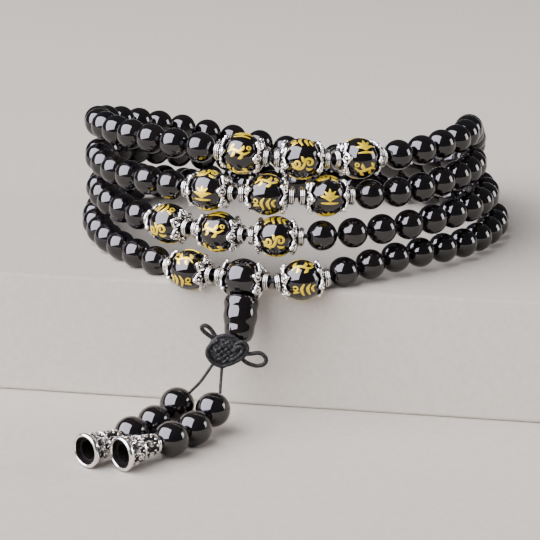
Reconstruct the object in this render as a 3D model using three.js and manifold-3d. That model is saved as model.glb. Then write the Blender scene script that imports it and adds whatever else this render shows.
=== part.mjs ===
// Mala prayer beads: one elastic cord strung with black stone beads and wound four times into a
// stacked bracelet. Three larger beads stand at the front of each turn, each between two silver caps.
// A barrel bead, a tied knot and two strings with beads and silver cones hang from the guru bead.
//
// Millimetres, +Z up. The origin is on the ring's axis, on the plane that the lowest turn rests on.
// The ring's front faces -Y, and its pendant hangs over the edge of whatever it stands on, so the
// pendant and the tail reach below z = 0.
import * as THREE from 'three';
import { mergeVertices } from 'three/addons/utils/BufferGeometryUtils.js';
import Module from 'manifold-3d';

const wasm = await Module();
wasm.setup();

// ---- Driving dimensions ----
const SMALL_R = 3.0;             // small ring bead
const LARGE_R = 4.0;             // ornament and guru beads
const TAIL_R = 3.4;              // bead on a tail string
const CAP_LENGTH = 1.4;          // what a cap adds to a large bead at each side
const CAP_ROOM = 0.4;            // free cord beyond a cap, so that caps clear on the bend
const GAP = 0.3;                 // clearance between neighbouring pieces
const ELASTIC_R = 0.5;           // elastic cord of the ring
const KNOT_CORD_R = 0.4;         // tying cord of the knot and its loops
const STRING_R = 0.3;            // tail string
const LARGE_BORE_R = 1.0;
const TAIL_BORE_R = 0.9;
const MIN_PITCH = 6.05;          // closest spacing of small beads along the cord
const LARGE_REACH = LARGE_R + CAP_LENGTH + CAP_ROOM;
const LARGE_PITCH = 2 * LARGE_REACH;

// ---- Route of the elastic cord ----
// Stations every 30 degrees round each turn, counted from the front towards -X. A turn's left side
// runs round the back into the right side of the turn below it, and the last turn climbs outside
// the others, back to the first. Row k starts turn k.
const STATIONS = 12;
const TURN_RADII = [
  [39.9, 40.2, 40.6, 40.4, 34.2, 28.2, 25.0, 25.2, 30.0, 37.2, 40.0, 41.2],
  [41.2, 41.6, 41.2, 40.4, 35.8, 31.8, 31.3, 31.6, 37.0, 40.6, 42.0, 42.0],
  [42.2, 41.6, 40.8, 40.4, 37.2, 28.4, 27.9, 28.6, 36.6, 43.0, 42.4, 41.0],
  [45.2, 43.8, 42.0, 41.6, 42.4, 36.5, 34.8, 37.2, 43.9, 37.4, 38.4, 39.0],
];
const TURN_HEIGHTS = [
  [25.2, 26.5, 26.2, 23.9, 19.1, 14.4, 11.3, 9.5, 10.3, 15.4, 17.4, 17.4],
  [18.1, 18.4, 18.0, 17.0, 12.9, 8.9, 8.6, 8.6, 9.4, 9.2, 10.6, 10.6],
  [10.1, 10.3, 10.4, 10.0, 6.8, 3.1, 3.1, 3.1, 3.1, 3.1, 3.6, 4.0],
  [2.0, 2.4, 3.1, 3.1, 3.1, 3.1, 3.1, 4.5, 11.2, 21.9, 24.2, 24.3],
];
// Where each row's middle large bead sits, in degrees from the front.
const GROUP_ANGLES = [-2.3, 7.3, 20.3, 13.1];
const STEPS_PER_STATION = 40;

// ---- Pendant and tail ----
// The barrel bead leans forward over the edge that the ring rests on, and the knot lies against its
// front, because the tail pulls it forward.
const PENDANT_AXIS = new THREE.Vector3(-0.07, -0.42, -0.9).normalize();
const BARREL_END = 12.5;         // lower end of the barrel bead, from the guru bead's centre
const KNOT_CENTRE = new THREE.Vector3(-13.0, -51.9, -9.95);
const KNOT_HALF = new THREE.Vector3(4.2, 1.1, 3.4);
const CONE_LENGTH = 8.6;
const CONE_MOUTH_R = 3.3;
const CONE_SMALL_R = 1.9;
const CONE_START = 3.65;         // small end of a cone, from the last bead's centre
// Each tail string: where it leaves the knot, its beads' centres, and its cone's direction.
const TAILS = {
  a: {
    exit: [-15.95, -51.9, -13.25],
    beads: [[-22.55, -55.5, -19.85], [-26.64, -61.1, -21.5], [-30.68, -66.95, -21.6]],
    cone: [-0.672, -0.740, 0],
  },
  b: {
    exit: [-13.95, -51.9, -13.75],
    beads: [[-15.58, -57.7, -20.1], [-19.0, -63.8, -21.6], [-23.1, -69.7, -21.55]],
    cone: [-0.748, -0.663, 0],
  },
};

// ---- Materials ----
const STONE = { color: 0x0a0a0c, roughness: 0.08, metalness: 0.0 };
const SILVER = { color: 0xb9b4ab, roughness: 0.3, metalness: 0.9 };
const CORD = { color: 0x0d0d0e, roughness: 0.85, metalness: 0.0 };
const ELASTIC = { color: 0x141416, roughness: 0.6, metalness: 0.0 };

const Y_AXIS = new THREE.Vector3(0, 1, 0);
const Z_AXIS = new THREE.Vector3(0, 0, 1);
const model = new THREE.Group();

function addMesh(name, geometry, look, position = null, axis = null) {
  const mesh = new THREE.Mesh(geometry, new THREE.MeshStandardMaterial(look));
  mesh.name = name;
  if (position) mesh.position.copy(position);
  if (axis) mesh.quaternion.setFromUnitVectors(Y_AXIS, axis);
  model.add(mesh);
  return mesh;
}

// ---- The route as a table of points and lengths ----
function stationPoint(index) {
  const turn = Math.floor(index / STATIONS) % TURN_RADII.length;
  const station = index % STATIONS;
  const angle = (2 * Math.PI * station) / STATIONS;
  const radius = TURN_RADII[turn][station];
  return new THREE.Vector3(
    -radius * Math.sin(angle),
    -radius * Math.cos(angle),
    TURN_HEIGHTS[turn][station],
  );
}

function catmullRom(p0, p1, p2, p3, t) {
  const along = (a, b, c, d) => 0.5 * (
    2 * b + (c - a) * t
    + (2 * a - 5 * b + 4 * c - d) * t * t
    + (3 * b - a - 3 * c + d) * t * t * t
  );
  return new THREE.Vector3(
    along(p0.x, p1.x, p2.x, p3.x),
    along(p0.y, p1.y, p2.y, p3.y),
    along(p0.z, p1.z, p2.z, p3.z),
  );
}

const stationCount = STATIONS * TURN_RADII.length;
const stationPoints = Array.from({ length: stationCount }, (_, i) => stationPoint(i));
const routePoints = [];
for (let i = 0; i < stationCount; i += 1) {
  const near = [i - 1, i, i + 1, i + 2].map((j) => stationPoints[(j + stationCount) % stationCount]);
  for (let step = 0; step < STEPS_PER_STATION; step += 1) {
    routePoints.push(catmullRom(...near, step / STEPS_PER_STATION));
  }
}
routePoints.push(routePoints[0].clone());
const routeLengths = [0];
for (let i = 1; i < routePoints.length; i += 1) {
  routeLengths.push(routeLengths[i - 1] + routePoints[i].distanceTo(routePoints[i - 1]));
}
const ROUTE_LENGTH = routeLengths[routeLengths.length - 1];

function pointAt(length) {
  const wanted = ((length % ROUTE_LENGTH) + ROUTE_LENGTH) % ROUTE_LENGTH;
  let low = 0;
  let high = routeLengths.length - 1;
  while (high - low > 1) {
    const middle = (low + high) >> 1;
    if (routeLengths[middle] <= wanted) low = middle;
    else high = middle;
  }
  const share = (wanted - routeLengths[low]) / (routeLengths[high] - routeLengths[low]);
  return routePoints[low].clone().lerp(routePoints[high], share);
}

function directionAt(length) {
  return pointAt(length + 1).sub(pointAt(length - 1)).normalize();
}

function lengthAtAngle(row) {
  const steps = ((GROUP_ANGLES[row] / 360 + row) * STATIONS) * STEPS_PER_STATION;
  const total = stationCount * STEPS_PER_STATION;
  const wrapped = steps < 0 ? steps + total : steps;
  const low = Math.floor(wrapped);
  const found = routeLengths[low] + (wrapped - low) * (routeLengths[low + 1] - routeLengths[low]);
  return steps < 0 ? found - ROUTE_LENGTH : found;
}

// ---- Shapes ----
// A closed profile of [radius, height] pairs, turned about Y: up the outside and down the inside.
function turned(profile, segments) {
  const points = profile.map(([radius, height]) => new THREE.Vector2(radius, height));
  points.push(points[0].clone());
  return new THREE.LatheGeometry(points, segments);
}

function drilledBead(radius, boreRadius, segments, rings) {
  const first = Math.asin(boreRadius / radius);
  const profile = [];
  for (let i = 0; i <= rings; i += 1) {
    const angle = first + ((Math.PI - 2 * first) * i) / rings;
    profile.push([radius * Math.sin(angle), -radius * Math.cos(angle)]);
  }
  return turned(profile, segments);
}

// A closed skin over rings of points: each ring has a centre, a direction and a radius.
function skin(rings, sides) {
  const positions = [];
  const triangles = [];
  for (const { centre, direction, radius } of rings) {
    const side = new THREE.Vector3().crossVectors(direction, Z_AXIS).normalize();
    const up = new THREE.Vector3().crossVectors(side, direction).normalize();
    for (let i = 0; i < sides; i += 1) {
      const angle = (2 * Math.PI * i) / sides;
      const point = centre.clone()
        .addScaledVector(side, radius * Math.cos(angle))
        .addScaledVector(up, radius * Math.sin(angle));
      positions.push(point.x, point.y, point.z);
    }
  }
  for (let ring = 0; ring + 1 < rings.length; ring += 1) {
    for (let i = 0; i < sides; i += 1) {
      const a = ring * sides + i;
      const b = ring * sides + ((i + 1) % sides);
      triangles.push(a, a + sides, b, b, a + sides, b + sides);
    }
  }
  const last = (rings.length - 1) * sides;
  for (let i = 1; i + 1 < sides; i += 1) {
    triangles.push(0, i, i + 1);
    triangles.push(last, last + i + 1, last + i);
  }
  const geometry = new THREE.BufferGeometry();
  geometry.setAttribute('position', new THREE.Float32BufferAttribute(positions, 3));
  geometry.setIndex(triangles);
  return geometry;
}

function tube(points, radius, sides) {
  const rings = points.map((centre, i) => {
    const before = points[Math.max(i - 1, 0)];
    const after = points[Math.min(i + 1, points.length - 1)];
    return { centre, direction: after.clone().sub(before).normalize(), radius };
  });
  return skin(rings, sides);
}

// ---- Boolean joins and cuts ----
function solidOf(geometry) {
  const bare = geometry.clone();
  bare.deleteAttribute('normal');
  bare.deleteAttribute('uv');
  const merged = mergeVertices(bare, 1e-4);
  return new wasm.Manifold(new wasm.Mesh({
    numProp: 3,
    vertProperties: new Float32Array(merged.attributes.position.array),
    triVerts: new Uint32Array(merged.index.array),
  }));
}

function geometryOf(solid) {
  const mesh = solid.getMesh();
  const geometry = new THREE.BufferGeometry();
  geometry.setAttribute('position', new THREE.BufferAttribute(new Float32Array(mesh.vertProperties), 3));
  geometry.setIndex(Array.from(mesh.triVerts));
  return geometry;
}

// ---- Ring: runs of small beads, front cords, large beads and caps ----
const groupLengths = GROUP_ANGLES.map((_, row) => lengthAtAngle(row));
const RUN_SIDES = 6;
const BEAD_SHOULDER = 0.72;      // where a coarse bead's shoulder ring sits, as a share of its radius

function smallBeadRun(from, to) {
  const count = Math.floor((to - from) / MIN_PITCH);
  const pitch = (to - from) / count;
  const shoulder = SMALL_R * BEAD_SHOULDER;
  const shoulderRadius = Math.sqrt(SMALL_R ** 2 - shoulder ** 2);
  const rings = [];
  for (let i = 0; i < count; i += 1) {
    const middle = from + (i + 0.5) * pitch;
    const centre = pointAt(middle);
    const direction = directionAt(middle);
    const ring = (offset, radius) => ({
      centre: centre.clone().addScaledVector(direction, offset), direction, radius,
    });
    rings.push(ring(-SMALL_R, ELASTIC_R));
    rings.push(ring(-shoulder, shoulderRadius));
    rings.push(ring(0, SMALL_R));
    rings.push(ring(shoulder, shoulderRadius));
    if (i === count - 1) rings.push(ring(SMALL_R, ELASTIC_R));
  }
  return skin(rings, RUN_SIDES);
}

const capProfile = [
  [LARGE_BORE_R, LARGE_R + GAP],
  [3.2, 3.2],
  [3.55, 3.6],
  [2.6, 4.4],
  [1.95, 4.7],
  [1.95, LARGE_R + CAP_LENGTH],
  [LARGE_BORE_R, LARGE_R + CAP_LENGTH],
];
const capGeometry = turned(capProfile, 8);
const largeBeadGeometry = drilledBead(LARGE_R, LARGE_BORE_R, 12, 7);
const largeBeads = [];

for (let row = 0; row < GROUP_ANGLES.length; row += 1) {
  const group = [];
  for (let place = 0; place < 3; place += 1) {
    const length = groupLengths[row] + (place - 1) * LARGE_PITCH;
    const centre = pointAt(length);
    const axis = directionAt(length);
    const isGuru = row === 3 && place === 1;
    const label = `${row + 1}_${place + 1}`;
    group.push({ centre, axis });
    if (!isGuru) addMesh(`ornament_bead_${label}`, largeBeadGeometry, STONE, centre, axis);
    addMesh(`bead_cap_${label}_a`, capGeometry, SILVER, centre, axis.clone().negate());
    addMesh(`bead_cap_${label}_b`, capGeometry, SILVER, centre, axis);
  }
  largeBeads.push(group);

  // The cord runs straight along each bead's axis and turns between the beads.
  const [first, second, third] = group;
  const end = (bead, offset) => bead.centre.clone().addScaledVector(bead.axis, offset);
  const cordPoints = [
    end(first, -LARGE_REACH + GAP),
    end(first, 0),
    end(first, LARGE_REACH).lerp(end(second, -LARGE_REACH), 0.5),
    end(second, 0),
    end(second, LARGE_REACH).lerp(end(third, -LARGE_REACH), 0.5),
    end(third, 0),
    end(third, LARGE_REACH - GAP),
  ];
  addMesh(`ring_cord_row_${row + 1}`, tube(cordPoints, ELASTIC_R, 6), ELASTIC);

  const nextRow = (row + 1) % GROUP_ANGLES.length;
  const nextLength = groupLengths[nextRow] + (nextRow === 0 ? ROUTE_LENGTH : 0);
  const from = groupLengths[row] + LARGE_PITCH + LARGE_REACH;
  const to = nextLength - LARGE_PITCH - LARGE_REACH;
  addMesh(`small_beads_run_${row + 1}`, smallBeadRun(from, to), STONE);
}

// ---- Guru bead, with a third hole for the pendant, and the barrel bead under it ----
const guru = largeBeads[3][1];
const DROP_HOLE_R = 0.9;
const dropHole = new THREE.CylinderGeometry(DROP_HOLE_R, DROP_HOLE_R, LARGE_R + 1, 8);
dropHole.translate(0, (LARGE_R + 1) / 2, 0);
dropHole.applyQuaternion(new THREE.Quaternion().setFromUnitVectors(Y_AXIS, PENDANT_AXIS));
const guruBall = largeBeadGeometry.clone();
guruBall.applyQuaternion(new THREE.Quaternion().setFromUnitVectors(Y_AXIS, guru.axis));
const guruGeometry = geometryOf(solidOf(guruBall).subtract(solidOf(dropHole)));
addMesh('guru_bead', guruGeometry, STONE, guru.centre);

const pendantPoint = (offset) => guru.centre.clone().addScaledVector(PENDANT_AXIS, offset);
// The barrel's hollow top seats under the guru bead, and two shallow waists leave three bulges.
const barrelProfile = [
  [1.0, LARGE_R + GAP],
  [2.7, 3.38],
  [3.2, 3.95],
  [3.42, 4.7],
  [3.15, 5.95],
  [3.35, 7.4],
  [2.85, 9.1],
  [2.95, 10.3],
  [2.3, 12.1],
  [1.6, BARREL_END],
  [1.0, BARREL_END],
];
const barrelGeometry = turned(barrelProfile, 12);
addMesh('barrel_bead', barrelGeometry, STONE, guru.centre, PENDANT_AXIS);

const pendantCordPoints = [1.3, BARREL_END / 2, BARREL_END].map(pendantPoint);
addMesh('pendant_cord', tube(pendantCordPoints, KNOT_CORD_R, 6), CORD);

// ---- Tied knot: a flat mat with a loop at each side and a link up to the barrel ----
const LOOP_POINTS = 12;

function knotLoop(centre, halfLength, halfWidth, tilt, cordRadius) {
  const points = [];
  for (let i = 0; i < LOOP_POINTS; i += 1) {
    const angle = Math.PI + (2 * Math.PI * i) / LOOP_POINTS;    // starts inside the mat
    const along = halfLength * Math.cos(angle);
    const across = halfWidth * Math.sin(angle);
    points.push(new THREE.Vector3(
      centre[0] + along * Math.cos(tilt) - across * Math.sin(tilt),
      centre[1],
      centre[2] + along * Math.sin(tilt) + across * Math.cos(tilt),
    ));
  }
  const path = new THREE.CatmullRomCurve3(points, true);
  const section = new THREE.Shape();
  section.absarc(0, 0, cordRadius, 0, 2 * Math.PI, false);
  const loop = new THREE.ExtrudeGeometry(section, { steps: 16, extrudePath: path, curveSegments: 3 });
  return solidOf(loop);
}

const matGeometry = new THREE.SphereGeometry(1, 12, 7);
matGeometry.scale(KNOT_HALF.x, KNOT_HALF.y, KNOT_HALF.z);
let knotSolid = solidOf(matGeometry);
knotSolid = knotSolid.add(knotLoop([-3.3, -0.2, 3.3], 1.95, 1.2, 2.27, KNOT_CORD_R));
knotSolid = knotSolid.add(knotLoop([5.1, 0.2, -1.9], 2.75, 1.3, -0.12, KNOT_CORD_R));
// The two cords that come out of the barrel bead lie together as one short link.
const LINK_R = 0.6;
const linkStart = pendantPoint(BARREL_END + GAP + LINK_R).sub(KNOT_CENTRE);
const linkEnd = new THREE.Vector3(1.7, 0.2, 0.3);
knotSolid = knotSolid.add(solidOf(tube([linkStart, linkEnd], LINK_R, 8)));
addMesh('tied_knot', geometryOf(knotSolid), CORD, KNOT_CENTRE);

// ---- Tail strings, their beads and cones ----
const vector = (xyz) => new THREE.Vector3(...xyz);
const tailBeadGeometry = drilledBead(TAIL_R, TAIL_BORE_R, 12, 6);
const coneProfile = [
  [0.8, 0],
  [CONE_SMALL_R, 0],
  [CONE_MOUTH_R - 0.1, CONE_LENGTH - 1.1],
  [CONE_MOUTH_R, CONE_LENGTH - 0.9],
  [CONE_MOUTH_R, CONE_LENGTH],
  [CONE_MOUTH_R - 0.95, CONE_LENGTH],
  [CONE_SMALL_R - 0.45, 1.2],
  [0.8, 1.0],
];
const coneGeometry = turned(coneProfile, 14);
const STOP_KNOT_R = 0.85;        // the string's end knot, inside the cone
const STOP_KNOT_AT = 3.9;        // its centre, from the cone's small end

for (const [label, tail] of Object.entries(TAILS)) {
  const exit = vector(tail.exit);
  const centres = tail.beads.map(vector);
  const coneAxis = vector(tail.cone).normalize();
  const smallEnd = centres[2].clone().addScaledVector(coneAxis, CONE_START);
  const stops = [exit, ...centres, smallEnd];
  const toward = (i) => stops[i + 1].clone().sub(stops[i]).normalize();
  const axes = centres.map((_, i) => toward(i).add(toward(i + 1)).normalize());
  const onBead = (i, offset) => centres[i].clone().addScaledVector(axes[i], offset);

  // The string sags a little between the knot and its first bead, and runs straight through each.
  const entry = onBead(0, -TAIL_R);
  const sag = exit.clone().lerp(entry, 0.5).addScaledVector(Z_AXIS, -0.5);
  const stopKnotCentre = smallEnd.clone().addScaledVector(coneAxis, STOP_KNOT_AT);
  const stringPoints = [
    exit,
    sag,
    entry,
    onBead(0, 0),
    onBead(0, TAIL_R).lerp(onBead(1, -TAIL_R), 0.5),
    onBead(1, 0),
    onBead(1, TAIL_R).lerp(onBead(2, -TAIL_R), 0.5),
    onBead(2, 0),
    onBead(2, TAIL_R).lerp(smallEnd, 0.5),
    smallEnd,
    stopKnotCentre,
  ];
  const stopKnot = new THREE.IcosahedronGeometry(STOP_KNOT_R, 1);
  stopKnot.translate(stopKnotCentre.x, stopKnotCentre.y, stopKnotCentre.z);
  const string = solidOf(tube(stringPoints, STRING_R, 8)).add(solidOf(stopKnot));
  addMesh(`tail_string_${label}`, geometryOf(string), CORD);

  centres.forEach((centre, i) => {
    addMesh(`tail_bead_${label}${i + 1}`, tailBeadGeometry, STONE, centre, axes[i]);
  });
  addMesh(`cone_${label}`, coneGeometry, SILVER, smallEnd, coneAxis);
}

export default model;
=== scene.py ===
"""Mala prayer beads: a wrist mala wound four times, with its pendant and tail over a step.

Lengths below are in millimetres in the row frame, and become metres when a mesh is made.
"""
import math

import bpy
from mathutils import Matrix, Vector


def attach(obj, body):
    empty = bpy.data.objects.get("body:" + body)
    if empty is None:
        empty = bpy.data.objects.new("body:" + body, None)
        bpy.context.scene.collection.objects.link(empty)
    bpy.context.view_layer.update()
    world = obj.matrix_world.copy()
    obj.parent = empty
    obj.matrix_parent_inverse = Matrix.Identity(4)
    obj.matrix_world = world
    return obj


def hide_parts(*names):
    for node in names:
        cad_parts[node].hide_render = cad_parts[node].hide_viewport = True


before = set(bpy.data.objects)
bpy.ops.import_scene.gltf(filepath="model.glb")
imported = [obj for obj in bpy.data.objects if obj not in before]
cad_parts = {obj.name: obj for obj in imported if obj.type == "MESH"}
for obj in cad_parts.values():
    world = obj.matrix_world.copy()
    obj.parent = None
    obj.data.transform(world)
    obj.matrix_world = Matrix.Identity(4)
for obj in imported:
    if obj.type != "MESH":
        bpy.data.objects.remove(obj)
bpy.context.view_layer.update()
MM = 0.001
TAU = 2 * math.pi
UP = Vector((0, 0, 1))

# ---- Sizes and routes, the same as the CAD part's ----
SMALL_R = 3.0
LARGE_R = 4.0
TAIL_R = 3.4
ELASTIC_R = 0.45
KNOT_CORD_R = 0.42
STRING_R = 0.3
MIN_PITCH = 6.05
LARGE_REACH = 5.8
LARGE_PITCH = 2 * LARGE_REACH
STATIONS = 12
STEPS_PER_STATION = 40
TURN_RADII = [
    [39.9, 40.2, 40.6, 40.4, 34.2, 28.2, 25.0, 25.2, 30.0, 37.2, 40.0, 41.2],
    [41.2, 41.6, 41.2, 40.4, 35.8, 31.8, 31.3, 31.6, 37.0, 40.6, 42.0, 42.0],
    [42.2, 41.6, 40.8, 40.4, 37.2, 28.4, 27.9, 28.6, 36.6, 43.0, 42.4, 41.0],
    [45.2, 43.8, 42.0, 41.6, 42.4, 36.5, 34.8, 37.2, 43.9, 37.4, 38.4, 39.0],
]
TURN_HEIGHTS = [
    [25.2, 26.5, 26.2, 23.9, 19.1, 14.4, 11.3, 9.5, 10.3, 15.4, 17.4, 17.4],
    [18.1, 18.4, 18.0, 17.0, 12.9, 8.9, 8.6, 8.6, 9.4, 9.2, 10.6, 10.6],
    [10.1, 10.3, 10.4, 10.0, 6.8, 3.1, 3.1, 3.1, 3.1, 3.1, 3.6, 4.0],
    [2.0, 2.4, 3.1, 3.1, 3.1, 3.1, 3.1, 4.5, 11.2, 21.9, 24.2, 24.3],
]
GROUP_ANGLES = [-2.3, 7.3, 20.3, 13.1]
PENDANT_AXIS = Vector((-0.07, -0.42, -0.9)).normalized()
BARREL_END = 12.5
KNOT_CENTRE = Vector((-13.0, -51.9, -9.95))
CONE_LENGTH = 8.6
CONE_MOUTH_R = 3.3
CONE_SMALL_R = 1.9
CONE_START = 3.65
STOP_KNOT_AT = 3.9
TAILS = {
    "a": {
        "exit": (-15.95, -51.9, -13.25),
        "beads": [(-22.55, -55.5, -19.85), (-26.64, -61.1, -21.5), (-30.68, -66.95, -21.6)],
        "cone": (-0.672, -0.740, 0),
        "length": 0.0320,
    },
    "b": {
        "exit": (-13.95, -51.9, -13.75),
        "beads": [(-15.58, -57.7, -20.1), (-19.0, -63.8, -21.6), (-23.1, -69.7, -21.55)],
        "cone": (-0.748, -0.663, 0),
        "length": 0.0310,
    },
}
LOWER_SURFACE = -25.0


# ---- Camera ----
def add_camera():
    data = bpy.data.cameras.new("camera")
    data.lens = 155.3
    data.sensor_width = 36
    data.clip_start = 0.01
    camera = bpy.data.objects.new("camera", data)
    elevation = math.radians(16.5)
    target = Vector((-4.6, 0, -9.2)) * MM
    towards = Vector((0, -math.cos(elevation), math.sin(elevation)))
    camera.location = target + towards * 0.5
    camera.rotation_euler = (math.radians(90) - elevation, 0, 0)
    bpy.context.scene.collection.objects.link(camera)
    bpy.context.scene.camera = camera


add_camera()


# ---- Node helpers ----
class Shader:
    """A node material with short calls for the nodes that these surfaces use."""

    def __init__(self, name):
        self.material = bpy.data.materials.new(name)
        self.material.use_nodes = True
        self.nodes = self.material.node_tree.nodes
        self.links = self.material.node_tree.links
        self.bsdf = self.nodes["Principled BSDF"]

    def set(self, **values):
        for key, value in values.items():
            self.bsdf.inputs[key.replace("_", " ")].default_value = value

    def node(self, kind, **values):
        made = self.nodes.new(kind)
        for key, value in values.items():
            if hasattr(made, key):
                setattr(made, key, value)
            else:
                made.inputs[key.replace("_", " ")].default_value = value
        return made

    def join(self, output, target):
        self.links.new(output, target)

    def noise(self, scale, detail=3.0, roughness=0.5):
        coordinates = self.node("ShaderNodeTexCoord")
        noise = self.node("ShaderNodeTexNoise", Scale=scale, Detail=detail, Roughness=roughness)
        self.join(coordinates.outputs["Object"], noise.inputs["Vector"])
        return noise.outputs["Fac"]

    def ramp(self, factor, stops):
        ramp = self.node("ShaderNodeValToRGB")
        elements = ramp.color_ramp.elements
        while len(elements) < len(stops):
            elements.new(0.5)
        for element, (position, colour) in zip(elements, stops):
            element.position = position
            element.color = (*colour, 1) if len(colour) == 3 else colour
        self.join(factor, ramp.inputs["Fac"])
        return ramp.outputs["Color"]

    def range(self, factor, low, high, low_out, high_out):
        mapped = self.node("ShaderNodeMapRange")
        limits = {"From Min": low, "From Max": high, "To Min": low_out, "To Max": high_out}
        for key, value in limits.items():
            mapped.inputs[key].default_value = value
        self.join(factor, mapped.inputs["Value"])
        return mapped.outputs["Result"]

    def bump(self, height, distance, strength=1.0):
        bump = self.node("ShaderNodeBump", Distance=distance, Strength=strength)
        self.join(height, bump.inputs["Height"])
        self.join(bump.outputs["Normal"], self.bsdf.inputs["Normal"])


def stone_material():
    stone = Shader("polished_stone")
    stone.set(IOR=1.62, Metallic=0.0)
    cloud = stone.noise(240, 4)
    colour = stone.ramp(cloud, [(0.35, (0.0018, 0.0016, 0.0022)), (0.7, (0.0060, 0.0040, 0.0038))])
    stone.join(colour, stone.bsdf.inputs["Base Color"])
    smudge = stone.noise(900, 5, 0.65)
    stone.join(stone.range(smudge, 0.35, 0.75, 0.018, 0.075), stone.bsdf.inputs["Roughness"])
    stone.bump(stone.noise(700, 2), 0.00001, 0.12)
    return stone.material


def silver_material():
    """Polished raised silver with a random patina, and painted shade: an ambient occlusion mask darkens
    the colour in recesses and where pieces meet.
    """
    silver = Shader("antique_silver_with_painted_shade")
    silver.set(Metallic=1.0)
    # Painted shade: the ambient occlusion mask is added to the patina noise, so the silver turns dark in
    # recesses and where pieces meet.
    occlusion = silver.node("ShaderNodeAmbientOcclusion", samples=8, Distance=0.0005)
    patina = silver.noise(2600, 4, 0.6)
    mixed = silver.node("ShaderNodeMath", operation="MULTIPLY_ADD")
    silver.join(patina, mixed.inputs[0])
    mixed.inputs[1].default_value = 0.35
    silver.join(occlusion.outputs["AO"], mixed.inputs[2])
    patina_and_painted_shade = mixed.outputs["Value"]
    # The ramp paints the shaded recesses near black and leaves the open silver bright.
    colour = silver.ramp(patina_and_painted_shade, [
        (0.45, (0.02, 0.017, 0.015)), (0.66, (0.34, 0.31, 0.28)), (0.9, (0.90, 0.87, 0.82)),
    ])
    silver.join(colour, silver.bsdf.inputs["Base Color"])
    silver.join(silver.range(patina_and_painted_shade, 0.5, 1.05, 0.5, 0.16), silver.bsdf.inputs["Roughness"])
    silver.bump(silver.noise(5200, 3), 0.00002, 0.15)
    return silver.material


def oxidised_material():
    """The blackened ground between the raised silver."""
    dark = Shader("oxidised_silver")
    dark.set(Metallic=0.85)
    stain = dark.noise(3400, 4, 0.6)
    colour = dark.ramp(stain, [
        (0.35, (0.006, 0.005, 0.005)), (0.6, (0.022, 0.019, 0.017)), (0.8, (0.12, 0.11, 0.10)),
    ])
    dark.join(colour, dark.bsdf.inputs["Base Color"])
    dark.join(dark.range(stain, 0.35, 0.8, 0.6, 0.38), dark.bsdf.inputs["Roughness"])
    dark.bump(stain, 0.00004, 0.5)
    return dark.material


def gilt_material():
    gilt = Shader("gilt")
    gilt.set(Metallic=0.6)
    brushed = gilt.noise(3800, 4, 0.6)
    colour = gilt.ramp(brushed, [
        (0.3, (0.55, 0.31, 0.01)), (0.5, (0.92, 0.66, 0.02)), (0.8, (1.0, 0.84, 0.09)),
    ])
    gilt.join(colour, gilt.bsdf.inputs["Base Color"])
    gilt.join(gilt.range(brushed, 0.3, 0.8, 0.5, 0.28), gilt.bsdf.inputs["Roughness"])
    gilt.bump(brushed, 0.00004, 0.5)
    return gilt.material


def braid_material():
    cord = Shader("braided_cord")
    cord.set(Specular_IOR_Level=0.25, Sheen_Weight=0.04, Sheen_Roughness=0.4)
    fibres = cord.noise(3600, 4, 0.7)
    colour = cord.ramp(fibres, [
        (0.42, (0.002, 0.002, 0.0025)), (0.56, (0.014, 0.014, 0.0145)), (0.7, (0.16, 0.16, 0.15)),
    ])
    cord.join(colour, cord.bsdf.inputs["Base Color"])
    cord.join(cord.range(fibres, 0.3, 0.7, 0.72, 0.5), cord.bsdf.inputs["Roughness"])
    cord.bump(fibres, 0.00006, 0.6)
    return cord.material


def elastic_material():
    elastic = Shader("elastic_cord")
    elastic.set(Specular_IOR_Level=0.4)
    ribs = elastic.noise(6000, 2)
    colour = elastic.ramp(ribs, [(0.3, (0.008, 0.008, 0.009)), (0.8, (0.03, 0.03, 0.032))])
    elastic.join(colour, elastic.bsdf.inputs["Base Color"])
    elastic.join(elastic.range(ribs, 0.3, 0.7, 0.6, 0.4), elastic.bsdf.inputs["Roughness"])
    elastic.bump(ribs, 0.00004, 0.4)
    return elastic.material


STONE = stone_material()
SILVER = silver_material()
OXIDISED = oxidised_material()
GILT = gilt_material()
BRAID = braid_material()
ELASTIC = elastic_material()


# ---- Mesh helpers ----
class Shape:
    """Vertices and faces gathered from several closed bodies, each with one of the mesh's finishes."""

    def __init__(self):
        self.vertices = []
        self.faces = []
        self.finishes = []

    def add(self, vertices, faces, matrix=None, finish=0):
        start = len(self.vertices)
        for vertex in vertices:
            point = Vector(vertex)
            self.vertices.append(matrix @ point if matrix else point)
        self.faces.extend(tuple(start + i for i in face) for face in faces)
        self.finishes.extend([finish] * len(faces))
        return self

    def mesh(self, name, *materials, sharp_degrees=40):
        mesh = bpy.data.meshes.new(name)
        mesh.from_pydata([v * MM for v in self.vertices], [], self.faces)
        for material in materials:
            mesh.materials.append(material)
        mesh.polygons.foreach_set("material_index", self.finishes)
        mesh.validate()
        mesh.shade_smooth()
        mesh.set_sharp_from_angle(angle=math.radians(sharp_degrees))
        return mesh


def add_piece(name, mesh, body, matrix=None, replaces=()):
    piece = bpy.data.objects.new(name, mesh)
    bpy.context.scene.collection.objects.link(piece)
    if matrix is not None:
        placed = matrix.copy()
        placed.translation = placed.translation * MM
        piece.matrix_world = placed
    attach(piece, body)
    if replaces:
        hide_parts(*replaces)
    return piece


def turned(profile, sides):
    """A closed profile of (radius, height) pairs turned about Z: up the outside, down the inside."""
    vertices = []
    for radius, height in profile:
        for i in range(sides):
            angle = TAU * i / sides
            vertices.append((radius * math.cos(angle), radius * math.sin(angle), height))
    faces = []
    for ring in range(len(profile)):
        a, b = ring * sides, ((ring + 1) % len(profile)) * sides
        for i in range(sides):
            j = (i + 1) % sides
            faces.append((a + i, a + j, b + j, b + i))
    return vertices, faces


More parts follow.
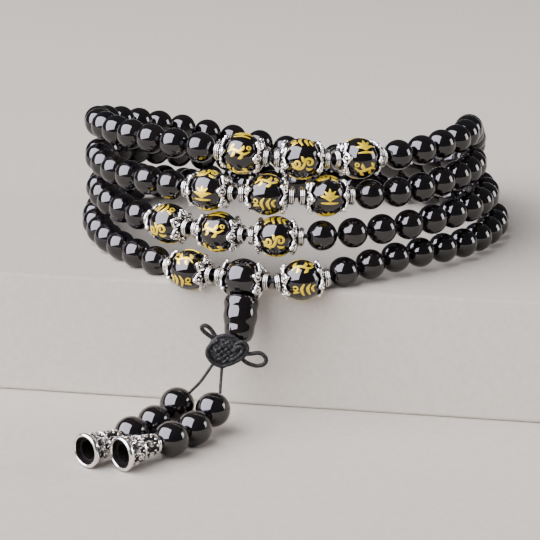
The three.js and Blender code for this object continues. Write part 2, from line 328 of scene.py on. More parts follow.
def drilled_ball(radius, bore, sides, rings):
    """A ball with a bore along Z whose two mouths are slightly countersunk."""
    mouth = bore * 1.35
    first = math.asin(mouth / radius)
    profile = []
    for i in range(rings + 1):
        angle = first + (math.pi - 2 * first) * i / rings
        profile.append((radius * math.sin(angle), -radius * math.cos(angle)))
    depth = math.sqrt(radius ** 2 - mouth ** 2) - (mouth - bore) * 1.2
    profile += [(bore, depth), (bore, 0), (bore, -depth)]
    return turned(profile, sides)


def small_ball(centre, radius, sides=8, rings=5):
    vertices = [(centre[0], centre[1], centre[2] - radius)]
    for k in range(1, rings):
        polar = math.pi * k / rings
        for i in range(sides):
            angle = TAU * i / sides
            vertices.append((
                centre[0] + radius * math.sin(polar) * math.cos(angle),
                centre[1] + radius * math.sin(polar) * math.sin(angle),
                centre[2] - radius * math.cos(polar),
            ))
    vertices.append((centre[0], centre[1], centre[2] + radius))
    top = len(vertices) - 1
    faces = []
    for i in range(sides):
        j = (i + 1) % sides
        faces.append((0, 1 + j, 1 + i))
        faces.append((top, 1 + (rings - 2) * sides + i, 1 + (rings - 2) * sides + j))
        for k in range(rings - 2):
            low = 1 + k * sides
            faces.append((low + i, low + j, low + sides + j, low + sides + i))
    return vertices, faces


def smooth_path(points, steps, closed=False):
    """A Catmull-Rom line through the points."""
    count = len(points)
    points = [Vector(p) for p in points]
    made = []
    for i in range(count if closed else count - 1):
        if closed:
            near = [points[(i + k) % count] for k in (-1, 0, 1, 2)]
        else:
            near = [points[min(max(i + k, 0), count - 1)] for k in (-1, 0, 1, 2)]
        a, b, c, d = near
        for step in range(steps):
            t = step / steps
            made.append(0.5 * (
                2 * b + (c - a) * t + (2 * a - 5 * b + 4 * c - d) * t ** 2
                + (3 * b - a - 3 * c + d) * t ** 3
            ))
    if not closed:
        made.append(points[-1].copy())
    return made


def resampled(points, spacing, closed=False):
    """The same line with evenly spaced points."""
    line = list(points) + ([points[0]] if closed else [])
    lengths = [0.0]
    for a, b in zip(line, line[1:]):
        lengths.append(lengths[-1] + (b - a).length)
    count = max(2, round(lengths[-1] / spacing))
    made = []
    k = 0
    for i in range(count if closed else count + 1):
        wanted = lengths[-1] * i / count
        while k < len(lengths) - 2 and lengths[k + 1] < wanted:
            k += 1
        span = lengths[k + 1] - lengths[k]
        made.append(line[k].lerp(line[k + 1], (wanted - lengths[k]) / span if span else 0))
    return made


def tube(points, radius, sides=8, closed=False, braid=0.0, pitch=1.0):
    """A closed tube along a line. braid raises two crossing families of strands on its skin."""
    count = len(points)
    directions = []
    for i in range(count):
        if closed:
            ahead, behind = points[(i + 1) % count], points[i - 1]
        else:
            ahead, behind = points[min(i + 1, count - 1)], points[max(i - 1, 0)]
        directions.append((ahead - behind).normalized())
    side = directions[0].cross(UP if abs(directions[0].z) < 0.9 else Vector((1, 0, 0))).normalized()
    sides_at = []
    for direction in directions:
        side = (side - direction * side.dot(direction)).normalized()
        sides_at.append(side)
    twist = 0.0
    if closed:
        last = sides_at[-1] - directions[0] * sides_at[-1].dot(directions[0])
        cross = directions[0].cross(sides_at[0])
        twist = math.atan2(last.dot(cross), last.dot(sides_at[0]))
    vertices = []
    travelled = 0.0
    for k in range(count):
        if k:
            travelled += (points[k] - points[k - 1]).length
        other = directions[k].cross(sides_at[k])
        for i in range(sides):
            angle = TAU * i / sides
            grown = radius[k] if isinstance(radius, list) else radius
            if braid:
                phase = TAU * travelled / pitch
                strands = max(abs(math.sin(2 * angle + phase)), abs(math.sin(2 * angle - phase)))
                grown *= 1 + braid * (strands - 0.8)
            turn = angle - twist * k / count
            vertices.append(points[k] + grown * (math.cos(turn) * sides_at[k] + math.sin(turn) * other))
    faces = []
    for k in range(count if closed else count - 1):
        for i in range(sides):
            j = (i + 1) % sides
            a, b = k * sides, ((k + 1) % count) * sides
            faces.append((a + i, a + j, b + j, b + i))
    if not closed:
        faces.append(tuple(reversed(range(sides))))
        faces.append(tuple(range((count - 1) * sides, count * sides)))
    return vertices, faces


# ---- The ring's route ----
def station_point(index):
    turn = index // STATIONS
    station = index % STATIONS
    angle = TAU * station / STATIONS
    radius = TURN_RADII[turn][station]
    return Vector((-radius * math.sin(angle), -radius * math.cos(angle), TURN_HEIGHTS[turn][station]))


STATION_COUNT = STATIONS * len(TURN_RADII)
ROUTE = smooth_path([station_point(i) for i in range(STATION_COUNT)], STEPS_PER_STATION, closed=True)
ROUTE.append(ROUTE[0].copy())
ROUTE_LENGTHS = [0.0]
for before, after in zip(ROUTE, ROUTE[1:]):
    ROUTE_LENGTHS.append(ROUTE_LENGTHS[-1] + (after - before).length)
ROUTE_LENGTH = ROUTE_LENGTHS[-1]


def point_at(length):
    wanted = length % ROUTE_LENGTH
    low, high = 0, len(ROUTE) - 1
    while high - low > 1:
        middle = (low + high) // 2
        if ROUTE_LENGTHS[middle] <= wanted:
            low = middle
        else:
            high = middle
    share = (wanted - ROUTE_LENGTHS[low]) / (ROUTE_LENGTHS[high] - ROUTE_LENGTHS[low])
    return ROUTE[low].lerp(ROUTE[high], share)


def direction_at(length):
    return (point_at(length + 1) - point_at(length - 1)).normalized()


def length_at_angle(row):
    steps = (GROUP_ANGLES[row] / 360 + row) * STATIONS * STEPS_PER_STATION
    wrapped = steps + STATION_COUNT * STEPS_PER_STATION if steps < 0 else steps
    low = math.floor(wrapped)
    found = ROUTE_LENGTHS[low] + (wrapped - low) * (ROUTE_LENGTHS[low + 1] - ROUTE_LENGTHS[low])
    return found - ROUTE_LENGTH if steps < 0 else found


def aligned(axis, centre, outward=None):
    """A matrix whose Z runs along axis and whose X faces outward, away from the ring's middle."""
    z = Vector(axis).normalized()
    facing = Vector(outward) if outward is not None else Vector((centre.x, centre.y, 0))
    x = (facing - z * facing.dot(z)).normalized()
    y = z.cross(x)
    matrix = Matrix((x, y, z)).transposed().to_4x4()
    matrix.translation = centre
    return matrix


# ---- Tail strings: the free cords come first ----
def tail_stops(tail):
    exit_point = Vector(tail["exit"])
    centres = [Vector(c) for c in tail["beads"]]
    cone_axis = Vector(tail["cone"]).normalized()
    small_end = centres[2] + cone_axis * CONE_START
    stops = [exit_point, *centres, small_end]
    towards = [(b - a).normalized() for a, b in zip(stops, stops[1:])]
    axes = [(towards[i] + towards[i + 1]).normalized() for i in range(3)]
    return exit_point, centres, axes, cone_axis, small_end


def tail_route(tail):
    exit_point, centres, axes, cone_axis, small_end = tail_stops(tail)
    entry = centres[0] - axes[0] * TAIL_R
    points = [exit_point, exit_point.lerp(entry, 0.5) - UP * 0.5, entry, centres[0]]
    for i in (0, 1):
        leaving = centres[i] + axes[i] * TAIL_R
        arriving = centres[i + 1] - axes[i + 1] * TAIL_R
        points += [leaving.lerp(arriving, 0.5), centres[i + 1]]
    points.append((centres[2] + axes[2] * TAIL_R).lerp(small_end, 0.5))
    points += [small_end, small_end + cone_axis * STOP_KNOT_AT]
    return points


tail_ball = Shape().add(*drilled_ball(TAIL_R, 0.6, 48, 30)).mesh("tail_ball", STONE)


def cone_mesh():
    """An end cone along Z from its small end, with a rolled rim, bands, granulation and scrolls."""
    top = CONE_LENGTH
    slope = (CONE_MOUTH_R - 0.35 - CONE_SMALL_R) / (top - 1.0)
    rim = CONE_MOUTH_R

    def skin(height):
        return CONE_SMALL_R - 0.12 + slope * height

    small_rim = [(0.75, 0.0), (CONE_SMALL_R - 0.25, 0.0), (CONE_SMALL_R - 0.02, 0.12)]
    small_rim += [(CONE_SMALL_R, 0.35), (CONE_SMALL_R - 0.05, 0.6), (skin(0.75), 0.75)]
    ground = [(skin(0.7), 0.7)] + [(skin(h), h) for h in (1.4, 2.2, 3.0, 3.8, 4.4, 5.0, 5.8, 6.6)]
    ground += [(skin(top - 1.1), top - 1.1), (1.9, top - 1.1), (1.5, 0.7)]
    mouth_rim = [(skin(top - 1.15), top - 1.15), (rim - 0.1, top - 1.0)]
    mouth_rim += [(rim, top - 0.78), (rim, top - 0.36)]
    mouth_rim += [(rim - 0.09, top - 0.1), (rim - 0.26, top), (rim - 0.5, top), (rim - 0.62, top - 0.08)]
    mouth_rim += [(rim - 0.66, top - 0.3), (rim - 0.8, top - 1.15)]
    lining = [(rim - 0.68, top - 0.3), (CONE_SMALL_R - 0.45, 1.2), (0.75, 1.0), (0.75, 0.7), (1.6, 0.7)]
    lining += [(rim - 0.85, top - 1.3)]
    shape = Shape().add(*turned(small_rim + [(1.6, 0.8), (0.75, 0.8)], 56))
    shape.add(*turned(ground, 56), finish=1)
    shape.add(*turned(mouth_rim, 72))
    shape.add(*turned(list(reversed(lining)), 56), finish=1)
    band = [(skin(4.2), 4.1), (skin(4.3) + 0.26, 4.2), (skin(4.5) + 0.26, 4.45), (skin(4.5), 4.55)]
    shape.add(*turned(band, 56))

    def on_skin(angle, height, lift):
        radius = skin(height) + lift
        return Vector((radius * math.cos(angle), radius * math.sin(angle), height))

    # Rows of grains: height, count, grain radius and how far the row is turned, in grains.
    grain_rows = (
        (1.1, 9, 0.27, 0), (1.72, 9, 0.22, 0.5), (3.75, 15, 0.19, 0),
        (4.82, 18, 0.18, 0), (7.2, 22, 0.17, 0),
    )
    for height, count, size, shift in grain_rows:
        for i in range(count):
            shape.add(*small_ball(on_skin(TAU * (i + shift) / count, height, 0.02), size, 7, 4))

    def scroll(middle_angle, middle_height, size, hand, tail):
        points = []
        for k in range(15):
            share = k / 14
            turn = hand * (TAU * 1.15 * share)
            reach = size * (0.25 + 0.75 * share)
            angle = middle_angle + reach * math.sin(turn) / skin(middle_height)
            points.append(on_skin(angle, middle_height - reach * math.cos(turn), 0.05))
        tail_angle = middle_angle + tail * size / skin(middle_height)
        points.append(on_skin(tail_angle, middle_height + size * 1.1, 0.05))
        path = smooth_path(points, 2)
        radii = [0.2 - 0.07 * abs(2 * i / len(path) - 0.7) for i in range(len(path))]
        shape.add(*tube(path, radii, 6))
        shape.add(*small_ball(on_skin(middle_angle, middle_height, 0.06), 0.22, 7, 4))

    for i in range(7):
        scroll(TAU * i / 7, 5.65, 0.74, 1, 1.2)
        scroll(TAU * (i + 0.5) / 7, 6.4, 0.62, -1, -1.0)
    for i in range(6):
        scroll(TAU * i / 6, 2.7, 0.6, 1, 1.1)
    return shape.mesh("cone", SILVER, OXIDISED, sharp_degrees=50)


CONE = cone_mesh()
# The knot that stops each string inside its cone is a short coil of the string.
WRAP_R = 0.5
WRAP_TURNS = 2.5
WRAP_LENGTH = 1.1

for label, tail in TAILS.items():
    exit_point, centres, axes, cone_axis, small_end = tail_stops(tail)
    route = resampled(smooth_path(tail_route(tail), 12), 0.12)
    string = Shape().add(*tube(route, STRING_R, 10, braid=0.2, pitch=0.9))
    knot_centre = small_end + cone_axis * STOP_KNOT_AT
    wrap = []
    for k in range(41):
        share = k / 40
        angle = TAU * WRAP_TURNS * share
        offset = Vector((WRAP_R * math.cos(angle), WRAP_R * math.sin(angle), WRAP_LENGTH * (share - 0.5)))
        wrap.append(aligned(cone_axis, knot_centre, (0, -1, 0)) @ offset)
    string.add(*tube(wrap, STRING_R, 8))
    name = f"string_{label}"
    string_mesh = string.mesh(name, BRAID, sharp_degrees=80)
    string_piece = add_piece(name, string_mesh, name, replaces=[f"tail_string_{label}"])
    for i, centre in enumerate(centres):
        node = f"tail_bead_{label}{i + 1}"
        matrix = aligned(axes[i], centre, (0, -1, 0))
        add_piece(f"{node}_stone", tail_ball, node, matrix, [node])
    matrix = aligned(cone_axis, small_end, UP)
    node = f"cone_{label}"
    add_piece(f"{node}_silver", CONE, node, matrix, [node])


# ---- Ring: small beads and elastic cord ----
group_lengths = [length_at_angle(row) for row in range(4)]
ball = drilled_ball(SMALL_R, 0.7, 32, 20)
for row in range(4):
    following = (row + 1) % 4
    next_length = group_lengths[following] + (ROUTE_LENGTH if following == 0 else 0)
    start = group_lengths[row] + LARGE_PITCH + LARGE_REACH
    end = next_length - LARGE_PITCH - LARGE_REACH
    count = math.floor((end - start) / MIN_PITCH)
    pitch = (end - start) / count
    run = Shape()
    for i in range(count):
        middle = start + (i + 0.5) * pitch
        run.add(*ball, aligned(direction_at(middle), point_at(middle)))
    add_piece(
        f"small_beads_{row + 1}", run.mesh(f"small_beads_{row + 1}", STONE), "ring",
        replaces=[f"small_beads_run_{row + 1}"],
    )

loop = resampled(ROUTE[:-1], 1.2, closed=True)
elastic = Shape().add(*tube(loop, ELASTIC_R, 10, closed=True))
add_piece(
    "elastic_cord", elastic.mesh("elastic_cord", ELASTIC, sharp_degrees=80), "ring",
    replaces=[f"ring_cord_row_{row}" for row in (1, 2, 3, 4)],
)


# ---- Large beads, their caps and gilt strokes ----
def cap_mesh():
    """A six-petalled bead cap along Z, seen from the bead's centre: knobs on ribs over a dark shell."""
    shape = Shape()
    sides = 72
    petals = 6
    shell_radius = 4.4

    def lobe(angle):
        """1 at a petal's tip and 0 between two petals."""
        return abs(math.cos(petals / 2 * angle))

    def on_cap(angle, polar_degrees, lift):
        polar = math.radians(polar_degrees)
        radius = shell_radius + lift
        flat = radius * math.sin(polar)
        return Vector((flat * math.cos(angle), flat * math.sin(angle), radius * math.cos(polar)))

    def edge(angle):
        """The scalloped edge, in degrees from the cap's axis."""
        return 34.5 + 11.5 * lobe(angle) ** 1.3

    outer, inner = [], []
    start = 24
    rows = 6
    for k in range(rows + 1):
        share = k / rows
        for i in range(sides):
            angle = TAU * i / sides
            polar = start + (edge(angle) - start) * share
            flare = 0.22 * lobe(angle) * share ** 2
            outer.append(on_cap(angle, polar, flare))
            inner.append(on_cap(angle, polar, flare - 0.24))
    vertices = outer + inner[::-1]
    for k in range(rows + 1):
        low = (rows + 1 + k) * sides
        vertices[low:low + sides] = vertices[low:low + sides][::-1]
    rings = 2 * (rows + 1)
    faces = []
    for ring in range(rings):
        a, b = ring * sides, ((ring + 1) % rings) * sides
        for i in range(sides):
            j = (i + 1) % sides
            faces.append((a + i, b + i, b + j, a + j))
    shape.add(vertices, faces, finish=1)

    core = [(1.0, 4.35), (1.0, 5.34), (1.45, 5.34), (1.45, 4.4), (1.7, 4.35), (1.7, 4.1)]
    shape.add(*turned(core, 40), finish=1)
    for radius, height, thickness in ((1.78, 5.28, 0.12), (1.98, 4.96, 0.12), (1.85, 4.62, 0.13)):
        bead = [(1.3, height - 0.06), (1.3, height + 0.06), (radius - thickness, height + thickness)]
        bead += [(radius - 0.03, height + 0.07), (radius, height), (radius - 0.03, height - 0.07)]
        bead.append((radius - thickness, height - thickness))
        shape.add(*turned(list(reversed(bead)), 48))
    rim = []
    for i in range(96):
        angle = TAU * i / 96
        rim.append(on_cap(angle, edge(angle) - 1.0, 0.03 + 0.22 * lobe(angle)))
    shape.add(*tube(rim, 0.23, 8, closed=True))
    for petal in range(petals):
        middle = TAU * petal / petals
        shape.add(*small_ball(on_cap(middle, 44.5, 0.1), 0.52, 14, 10))
        shape.add(*small_ball(on_cap(middle, 35, 0.16), 0.32, 9, 6))
        between = middle + TAU / (2 * petals)
        shape.add(*small_ball(on_cap(between, 30.5, 0.1), 0.24, 8, 5))
        for hand in (-1, 1):
            rib = []
            for k in range(8):
                share = k / 7
                spread = 17 * math.sin(math.pi * share) ** 0.8
                angle = middle + hand * math.radians(spread)
                rib.append(on_cap(angle, 25 + 20 * share, 0.1 + 0.12 * share))
            path = smooth_path(rib, 2)
            shape.add(*tube(path, 0.2, 7))
    return shape.mesh("cap", SILVER, OXIDISED, sharp_degrees=50)


# Gilt strokes, in millimetres on the bead's skin: across it along the cord, and up it.
# Each stroke is a list of (across, up, width). They are leaves, rings and scrolls, and not writing.
def leaf(x0, y0, x1, y1, width, bend=0.0):
    dx, dy = x1 - x0, y1 - y0
    points = []
    for share, swell in ((0, 0.25), (0.3, 0.85), (0.6, 1.0), (0.85, 0.6), (1, 0.12)):
        lift = bend * math.sin(math.pi * share)
        points.append((x0 + dx * share - dy * lift, y0 + dy * share + dx * lift, width * swell))
    return points


def ring_stroke(x, y, radius, width, opening=0.0):
    points = []
    for k in range(11):
        angle = opening + (TAU - 2 * opening) * k / 10
        points.append((x + radius * math.cos(angle), y + radius * math.sin(angle), width))
    return points


def curl(x, y, radius, width, hand, turns=1.2):
    points = []
    for k in range(13):
        share = k / 12
        angle = hand * TAU * turns * share
        reach = radius * (1 - 0.75 * share)
        swell = width * (1 - 0.45 * share)
        points.append((x + reach * math.cos(angle), y + reach * math.sin(angle), swell))
    return points


MOTIFS = [
    [
        [(-2.3, -0.4, 0.2), (-1.2, 0.25, 0.42), (0, -0.1, 0.48), (1.2, -0.5, 0.42), (2.3, 0.2, 0.2)],
        leaf(-1.6, 0.1, -0.9, 1.35, 0.6, 0.2), leaf(0.1, 0.0, 0.9, 1.25, 0.6, -0.2),
        leaf(-0.9, 0.0, -1.5, -1.3, 0.55, 0.2), leaf(0.9, -0.4, 0.1, -1.5, 0.55, 0.2),
        ring_stroke(1.95, 0.95, 0.36, 0.26),
    ],
    [
        leaf(0.0, -1.1, -1.9, -0.1, 0.5, -0.15), leaf(0.0, -1.0, -1.15, 0.95, 0.55, -0.1),
        leaf(0.0, -0.9, 0.0, 1.4, 0.6, 0.0), leaf(0.0, -1.0, 1.15, 0.95, 0.55, 0.1),
        leaf(0.0, -1.1, 1.9, -0.1, 0.5, 0.15), [(-1.7, -1.55, 0.2), (0, -1.5, 0.42), (1.7, -1.55, 0.2)],
    ],
    [
        curl(-1.2, 0.2, 0.95, 0.48, 1), curl(1.3, -0.1, 0.9, 0.48, -1),
        [(-0.3, 0.25, 0.4), (0.1, -0.8, 0.5), (1.0, -1.25, 0.4), (2.1, -1.1, 0.15)],
        leaf(0.2, 0.3, 0.5, 1.4, 0.5, 0.2), leaf(-0.6, -0.9, -2.0, -1.2, 0.5, 0.2),
    ],
    [
        [(-2.2, 0.9, 0.15), (-1.5, 0.2, 0.5), (-2.0, -0.9, 0.3)],
        [(-1.1, 1.2, 0.15), (-0.5, 0.2, 0.55), (-1.0, -1.2, 0.3)],
        [(0.1, 1.3, 0.15), (0.7, 0.2, 0.55), (0.2, -1.3, 0.3)],
        ring_stroke(1.9, 0.4, 0.45, 0.26, 0.25), leaf(1.1, -0.5, 2.3, -1.1, 0.5, 0.2),
    ],
]
# How much wider the strokes are than the widths above.
STROKE_SWELL = 1.25


def stroke_body(stroke, turn, flip):
    """A raised brush stroke on the large bead's skin, turned about the bead's own axis."""
    path = smooth_path([(x * flip, y, w) for x, y, w in stroke], 4)
    vertices = []
    section = ((-0.5, -0.05), (-0.42, 0.05), (0, 0.085), (0.42, 0.05), (0.5, -0.05), (0, -0.05))
    for k, (x, y, width) in enumerate(path):
        ahead, behind = path[min(k + 1, len(path) - 1)], path[max(k - 1, 0)]
        along = Vector((ahead.x - behind.x, ahead.y - behind.y, 0))
        along = along.normalized() if along.length > 1e-6 else Vector((1, 0, 0))
        across = Vector((-along.y, along.x, 0))
        for offset, lift in section:
            px = (x + across.x * offset * width * STROKE_SWELL) / LARGE_R
            py = (y + across.y * offset * width * STROKE_SWELL) / LARGE_R + turn
            radius = LARGE_R + lift
            vertices.append((
                radius * math.cos(px) * math.cos(py), radius * math.cos(px) * math.sin(py),
                radius * math.sin(px),
            ))
    size = len(section)
    faces = []
    for k in range(len(path) - 1):
        for i in range(size):
            j = (i + 1) % size
            a, b = k * size, (k + 1) * size
            faces.append((a + i, b + i, b + j, a + j) if flip > 0 else (a + i, a + j, b + j, b + i))
    ends = (tuple(range(size)), tuple(reversed(range((len(path) - 1) * size, len(path) * size))))
    faces.extend(ends if flip > 0 else tuple(tuple(reversed(end)) for end in ends))
    return vertices, faces


def gilt_mesh(name, first, spin):
    shape = Shape()
    for copy in range(5):
        motif = MOTIFS[(first + copy) % len(MOTIFS)]
        flip = -1 if (first + copy) % 3 == 1 else 1
        for stroke in motif:
            shape.add(*stroke_body(stroke, TAU * copy / 5 + spin, flip))
    return shape.mesh(name, GILT, sharp_degrees=35)


CAP = cap_mesh()
large_ball = Shape().add(*drilled_ball(LARGE_R, 0.9, 64, 40)).mesh("large_ball", STONE)
guru_centre = None
for row in range(4):
    for place in range(3):
        length = group_lengths[row] + (place - 1) * LARGE_PITCH
        centre = point_at(length)
        axis = direction_at(length)
        label = f"{row + 1}_{place + 1}"
        guru = row == 3 and place == 1
        body = "pendant" if guru else f"ornament_{label}"
        node = "guru_bead" if guru else f"ornament_bead_{label}"
        matrix = aligned(axis, centre)
        add_piece(f"{node}_stone", large_ball, body, matrix, [node])
        # Each cap sits as it was threaded; the guru bead's caps clear the barrel bead's rim.
        for side, direction in (("a", -axis), ("b", axis)):
            turn = 30 if guru else (row * 3 + place * 2 + (side == "b")) % 4 * 15
            cap_matrix = aligned(direction, centre) @ Matrix.Rotation(math.radians(turn), 4, "Z")
            add_piece(f"cap_{label}_{side}", CAP, body, cap_matrix, [f"bead_cap_{label}_{side}"])
        if guru:
            guru_centre = centre
        else:
            spin = 0.12 * ((row * 5 + place * 3) % 7 - 3)
            name = f"gilt_{label}"
            add_piece(name, gilt_mesh(name, row + 2 * place, spin), body, matrix)


# ---- Barrel bead and pendant cord ----
barrel_profile = [
    (0.7, 4.6), (0.7, 4.42), (1.4, 4.2), (2.0, 3.9), (2.4, 3.62), (2.62, 3.46), (2.8, 3.44), (2.98, 3.6),
    (3.2, 3.95), (3.36, 4.35), (3.42, 4.8), (3.39, 5.2), (3.31, 5.6), (3.25, 6.0), (3.25, 6.3),
    (3.3, 6.7), (3.35, 7.15), (3.36, 7.5), (3.31, 8.0), (3.2, 8.5), (3.07, 9.0), (2.99, 9.4),
    (2.97, 9.8), (2.95, 10.2), (2.88, 10.7), (2.75, 11.2), (2.55, 11.65), (2.3, 12.05), (1.95, 12.35),
    (1.55, BARREL_END), (0.7, BARREL_END),
]
barrel = Shape().add(*turned(barrel_profile, 56)).mesh("barrel", STONE, sharp_degrees=60)
drop_matrix = aligned(PENDANT_AXIS, guru_centre, (0, -1, 0))
add_piece("barrel_stone", barrel, "pendant", drop_matrix, ["barrel_bead"])
drop = resampled([guru_centre + PENDANT_AXIS * reach for reach in (1.3, BARREL_END + 0.2)], 0.15)
drop_shape = Shape().add(*tube(drop, KNOT_CORD_R, 12, braid=0.2, pitch=1.1))
drop_mesh = drop_shape.mesh("drop_cord", BRAID, sharp_degrees=80)
add_piece("drop_cord", drop_mesh, "pendant", replaces=["pendant_cord"])


# ---- Tied knot ----
def knot_mesh():
    """A flat button knot: a close weave of two crossing runs, arcs round it, and two loops."""
    shape = Shape()
    slope = math.radians(38)
    pitch = 0.88
    lift = 0.3
    rows = (-1.5, -0.5, 0.5, 1.5)
    weave_centre = KNOT_CENTRE + Vector((-0.1, 0, -0.3))

    def placed(p, q, forward):
        x = p * math.cos(slope) - q * math.sin(slope)
        z = p * math.sin(slope) + q * math.cos(slope)
        return weave_centre + Vector((x, -0.25 - forward, z))

    def lay(points, closed=False):
        path = resampled(smooth_path(points, 8, closed), 0.11, closed)
        shape.add(*tube(path, KNOT_CORD_R, 12, closed, braid=0.26, pitch=1.15))

    def flat(outline, depth):
        lay([KNOT_CENTRE + Vector((x, depth, z)) for x, z in outline])

    for family in (0, 1):
        points = []
        for k, row in enumerate(rows):
            across = row * pitch
            order = (-2, -1.5, -1, -0.5, 0, 0.5, 1, 1.5, 2)
            for step in (order if k % 2 == 0 else reversed(order)):
                weave = math.cos(math.pi * (step + 1.5 + k + family)) * lift
                along = step * pitch
                spot = (along, across) if family == 0 else (across, along)
                points.append(placed(*spot, weave))
            if k < len(rows) - 1:
                end = 2.7 * pitch * (1 if k % 2 == 0 else -1)
                turn = (row + 0.5) * pitch
                spot = (end, turn) if family == 0 else (turn, end)
                points.append(placed(*spot, -0.2))
        lay(points)
    # Arcs over the top and down the left, two nested at the upper right, one below, and four behind.
    top_arc = [(-2.2, 0.2), (-2.9, 1.3), (-1.9, 2.5), (-0.3, 3.0), (1.2, 2.6), (2.2, 1.5), (2.3, 0.4)]
    left_arc = [(-1.6, 2.2), (-2.7, 1.5), (-3.6, 0.3), (-3.7, -0.9)]
    left_arc += [(-3.0, -2.1), (-1.9, -2.9), (-0.6, -3.2), (0.4, -2.5)]
    right_arc = [(1.4, 0.7), (2.2, 1.5), (3.1, 1.7), (3.85, 1.1), (4.0, 0.1)]
    right_arc += [(3.4, -1.0), (2.3, -1.9), (1.0, -2.6), (0.0, -2.9)]
    inner_arc = [(1.3, -0.2), (2.0, 0.7), (2.8, 0.85), (3.1, 0.2), (2.6, -0.6), (1.7, -1.4), (0.6, -2.0)]
    low_arc = [(-2.6, -1.2), (-1.8, -2.0), (-0.8, -2.6), (0.4, -2.7), (1.4, -2.1)]
    for outline, depth in (
        (top_arc, -0.1), (left_arc, -0.3), (right_arc, -0.35), (inner_arc, -0.55), (low_arc, 0.1),
        ([(-3.0, 0.9), (-2.4, -0.6), (-1.6, -2.0)], 0.35), ([(-1.6, 1.8), (0.2, 2.1), (1.8, 1.2)], 0.35),
        ([(0.4, -1.9), (1.8, -1.2), (2.9, 0.0)], 0.35), ([(-2.2, -0.9), (-2.4, 0.6), (-1.2, 1.7)], 0.35),
    ):
        flat(outline, depth)
    core = [(0.05, -0.55), (1.6, -0.5), (2.5, -0.25), (2.8, 0), (2.5, 0.25), (1.6, 0.5), (0.05, 0.55)]
    middle = Matrix.Translation(KNOT_CENTRE + Vector((0, 0.05, 0)))
    backing = middle @ Matrix.Rotation(math.radians(90), 4, "X") @ Matrix.Diagonal((1.3, 1.08, 1, 1))
    shape.add(*turned(core, 40), backing)
    left_ear = [(-1.7, 1.7), (-2.5, 2.3), (-3.5, 3.0), (-4.5, 3.9), (-4.75, 4.6)]
    left_ear += [(-4.1, 4.95), (-3.3, 4.5), (-2.5, 3.4), (-1.9, 2.4), (-1.2, 1.8)]
    right_ear = [(1.9, -0.9), (2.9, -0.9), (4.7, -0.8), (6.3, -0.65), (7.3, -1.25), (7.65, -2.15)]
    right_ear += [(7.1, -3.0), (5.7, -3.25), (4.0, -2.7), (2.9, -1.8), (2.0, -1.4)]
    for ear in (left_ear, right_ear):
        flat(ear, 0.1)
    # Each tail string comes out of the knot at its own place.
    for tail in TAILS.values():
        outlet = Vector(tail["exit"])
        inside = outlet + (KNOT_CENTRE - outlet) * 0.3
        shape.add(*tube(resampled([outlet, inside], 0.12), STRING_R, 10))
    # Two cords come down from the barrel bead's hole into the back of the knot.
    hole = guru_centre + PENDANT_AXIS * (BARREL_END + 0.75)
    for shift in (-0.3, 0.3):
        start = hole + Vector((shift, 0, 0))
        bend = start.lerp(KNOT_CENTRE + Vector((1.5, 0.4, 0)), 0.5) - UP * 0.15
        lay([start, bend, KNOT_CENTRE + Vector((1.2, 0.3, 0))])
    return shape.mesh("knot", BRAID, sharp_degrees=80)


add_piece("tied_knot_cord", knot_mesh(), "knot", replaces=["tied_knot"])


# ---- Stage: a pale step, its front edge turned a little ----
def stage_material():
    cloth = Shader("pale_surface")
    weave = cloth.noise(900, 4)
    colour = cloth.ramp(weave, [(0.3, (0.58, 0.54, 0.50)), (0.75, (0.64, 0.60, 0.56))])
    cloth.join(colour, cloth.bsdf.inputs["Base Color"])
    cloth.set(Roughness=0.9, Specular_IOR_Level=0.2)
    cloth.bump(weave, 0.0001, 0.25)
    return cloth.material


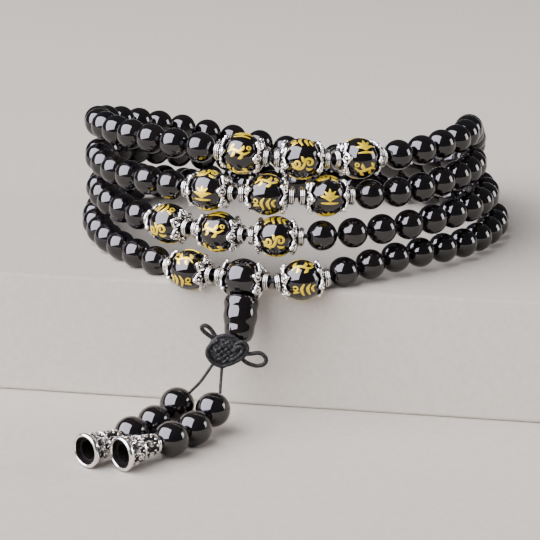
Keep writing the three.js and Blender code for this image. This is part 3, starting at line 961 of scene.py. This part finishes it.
def add_step():
    side = 700.0
    front, back = -600.0, 900.0
    left_edge, right_edge = (-41.2 - 0.19 * (x + 10.5) for x in (-side, side))
    outline = [
        (-side, left_edge, LOWER_SURFACE), (side, right_edge, LOWER_SURFACE),
        (side, right_edge, 0), (-side, left_edge, 0),
        (-side, back, LOWER_SURFACE), (side, back, LOWER_SURFACE), (side, back, 0), (-side, back, 0),
    ]
    faces = [(0, 1, 2, 3), (5, 4, 7, 6), (3, 2, 6, 7), (1, 0, 4, 5), (1, 5, 6, 2), (4, 0, 3, 7)]
    pale = stage_material()
    upper = bpy.data.objects.new("stage_upper", Shape().add(outline, faces).mesh("stage_upper", pale))
    bevel = upper.modifiers.new("edge", "BEVEL")
    bevel.width = 0.0008
    bevel.segments = 4
    corners = ((-side, front), (side, front), (side, back), (-side, back))
    floor = [(x, y, LOWER_SURFACE) for x, y in corners]
    lower_mesh = Shape().add(floor, [(0, 1, 2, 3)]).mesh("stage_lower", pale)
    lower = bpy.data.objects.new("stage_lower", lower_mesh)
    for part in (upper, lower):
        bpy.context.scene.collection.objects.link(part)


add_step()


# ---- Lights ----
def add_light(name, position, size, power, colour, roll=0, diffuse=True, glossy=True):
    data = bpy.data.lights.new(name, "AREA")
    data.shape = "RECTANGLE"
    data.size = size[0]
    data.size_y = size[1]
    data.energy = power
    data.color = colour
    light = bpy.data.objects.new(name, data)
    light.location = Vector(position)
    direction = -Vector(position)
    facing = direction.to_track_quat("-Z", "Y").to_matrix()
    light.rotation_euler = (facing @ Matrix.Rotation(math.radians(roll), 3, "Z")).to_euler()
    light.visible_diffuse = diffuse
    light.visible_glossy = glossy
    bpy.context.scene.collection.objects.link(light)


# The softbox at the left is mirrored in the stone, and a weaker light from there falls on the floor.
SOFTBOX_AT = (-0.50, -0.27, 0.49)
SOFTBOX_SIZE = (1.08, 0.98)
SOFTBOX_COLOUR = (0.88, 0.85, 1.0)
add_light("left_softbox", SOFTBOX_AT, SOFTBOX_SIZE, 48.0, SOFTBOX_COLOUR, roll=25, diffuse=False)
add_light("left_key", SOFTBOX_AT, SOFTBOX_SIZE, 32.0, (1.0, 0.98, 0.97), roll=25, glossy=False)
add_light("right_fill", (0.75, 0.0, 0.2), (0.3, 0.4), 4.0, (1.0, 0.96, 0.97))
world = bpy.data.worlds.new("studio")
bpy.context.scene.world = world
world.use_nodes = True
world.node_tree.nodes["Background"].inputs["Color"].default_value = (0.9, 0.93, 1.0, 1)
world.node_tree.nodes["Background"].inputs["Strength"].default_value = 0.12
